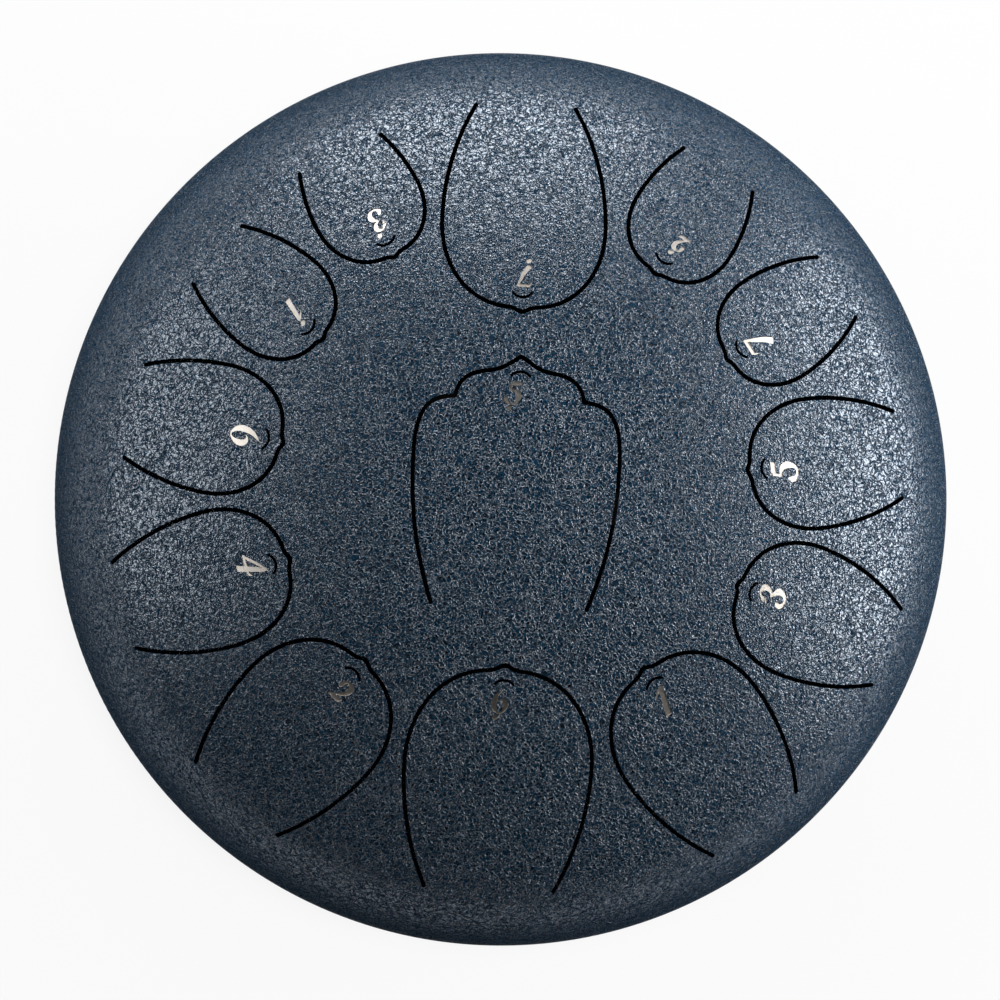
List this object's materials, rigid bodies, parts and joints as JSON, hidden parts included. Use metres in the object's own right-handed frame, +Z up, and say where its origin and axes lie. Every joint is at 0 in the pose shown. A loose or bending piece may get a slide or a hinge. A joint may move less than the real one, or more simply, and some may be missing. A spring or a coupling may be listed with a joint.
{
  "type": "steel tongue drum",
  "caption": "Round steel tongue drum: a slotted dome with a ring of petal-shaped tongues round an ogee tongue, on a flat-bottomed bowl with a sound hole and rubber feet.",
  "frame": {"origin": "centre of the circle that the drum stands on, on the plane of the three soles", "axes": "+Z up along the drum's axis; +Y towards the tip of the middle tongue, away from the player; +X to the player's right"},
  "size_m": [0.3056, 0.3056, 0.1599],
  "materials": {
    "blue_paint": "dark navy hammered paint with a fine crackle, satin",
    "bare_steel": "bright bare or zinc-plated steel",
    "black_rubber": "matte moulded rubber"
  },
  "bodies": {
    "drum_body": {"upper_shell": "blue_paint", "lower_shell": "blue_paint", "waist_weld": "blue_paint", "rubber_foot_1": "black_rubber", "rubber_foot_2": "black_rubber", "rubber_foot_3": "black_rubber", "foot_screws": "bare_steel", "foot_washers": "bare_steel", "foot_nuts": "bare_steel"},
    "tongue_low_5": {"tongue_low_5": "blue_paint"},
    "tongue_low_6": {"tongue_low_6": "blue_paint"},
    "tongue_low_7": {"tongue_low_7": "blue_paint"},
    "tongue_1": {"tongue_1": "blue_paint"},
    "tongue_2": {"tongue_2": "blue_paint"},
    "tongue_3": {"tongue_3": "blue_paint"},
    "tongue_4": {"tongue_4": "blue_paint"},
    "tongue_5": {"tongue_5": "blue_paint"},
    "tongue_6": {"tongue_6": "blue_paint"},
    "tongue_7": {"tongue_7": "blue_paint"},
    "tongue_high_1": {"tongue_high_1": "blue_paint"},
    "tongue_high_2": {"tongue_high_2": "blue_paint"},
    "tongue_high_3": {"tongue_high_3": "blue_paint"}
  },
  "joints": [
    {"name": "flex_low_5", "type": "hinge", "parent": "drum_body", "child": "tongue_low_5", "pos_m": [0, -0.03616, 0.15635], "axis": [1, 0, 0], "range_deg": [-0.51, 0.51], "stiffness_Nm_per_rad": 20},
    {"name": "flex_low_6", "type": "hinge", "parent": "drum_body", "child": "tongue_low_6", "pos_m": [0, -0.13019, 0.12347], "axis": [1, 0, 0], "range_deg": [-0.49, 0.49], "stiffness_Nm_per_rad": 20},
    {"name": "flex_low_7", "type": "hinge", "parent": "drum_body", "child": "tongue_low_7", "pos_m": [-0.00114, 0.13017, 0.12348], "axis": [-1, -0.0087, 0], "range_deg": [-0.47, 0.47], "stiffness_Nm_per_rad": 20},
    {"name": "flex_1", "type": "hinge", "parent": "drum_body", "child": "tongue_1", "pos_m": [0.08814, -0.10467, 0.11778], "axis": [0.7649, 0.6441, 0], "range_deg": [-0.46, 0.46], "stiffness_Nm_per_rad": 20},
    {"name": "flex_2", "type": "hinge", "parent": "drum_body", "child": "tongue_2", "pos_m": [-0.08497, -0.10455, 0.11981], "axis": [0.776, -0.6307, 0], "range_deg": [-0.44, 0.44], "stiffness_Nm_per_rad": 20},
    {"name": "flex_3", "type": "hinge", "parent": "drum_body", "child": "tongue_3", "pos_m": [0.12944, -0.04331, 0.11813], "axis": [0.3173, 0.9483, 0], "range_deg": [-0.42, 0.42], "stiffness_Nm_per_rad": 20},
    {"name": "flex_4", "type": "hinge", "parent": "drum_body", "child": "tongue_4", "pos_m": [-0.12538, -0.04244, 0.12181], "axis": [0.3206, -0.9472, 0], "range_deg": [-0.4, 0.4], "stiffness_Nm_per_rad": 20},
    {"name": "flex_5", "type": "hinge", "parent": "drum_body", "child": "tongue_5", "pos_m": [0.1291, 0.02114, 0.12301], "axis": [-0.1616, 0.9869, 0], "range_deg": [-0.38, 0.38], "stiffness_Nm_per_rad": 20},
    {"name": "flex_6", "type": "hinge", "parent": "drum_body", "child": "tongue_6", "pos_m": [-0.12516, 0.02184, 0.12554], "axis": [-0.1719, -0.9851, 0], "range_deg": [-0.36, 0.36], "stiffness_Nm_per_rad": 20},
    {"name": "flex_7", "type": "hinge", "parent": "drum_body", "child": "tongue_7", "pos_m": [0.10566, 0.07593, 0.12352], "axis": [-0.5835, 0.8121, 0], "range_deg": [-0.35, 0.35], "stiffness_Nm_per_rad": 20},
    {"name": "flex_high_1", "type": "hinge", "parent": "drum_body", "child": "tongue_high_1", "pos_m": [-0.10072, 0.0748, 0.12647], "axis": [-0.5962, -0.8028, 0], "range_deg": [-0.34, 0.34], "stiffness_Nm_per_rad": 20},
    {"name": "flex_high_2", "type": "hinge", "parent": "drum_body", "child": "tongue_high_2", "pos_m": [0.06402, 0.1127, 0.12387], "axis": [-0.8695, 0.4939, 0], "range_deg": [-0.32, 0.32], "stiffness_Nm_per_rad": 20},
    {"name": "flex_high_3", "type": "hinge", "parent": "drum_body", "child": "tongue_high_3", "pos_m": [-0.06202, 0.11052, 0.12574], "axis": [-0.8721, -0.4894, 0], "range_deg": [-0.31, 0.31], "stiffness_Nm_per_rad": 20}
  ]
}
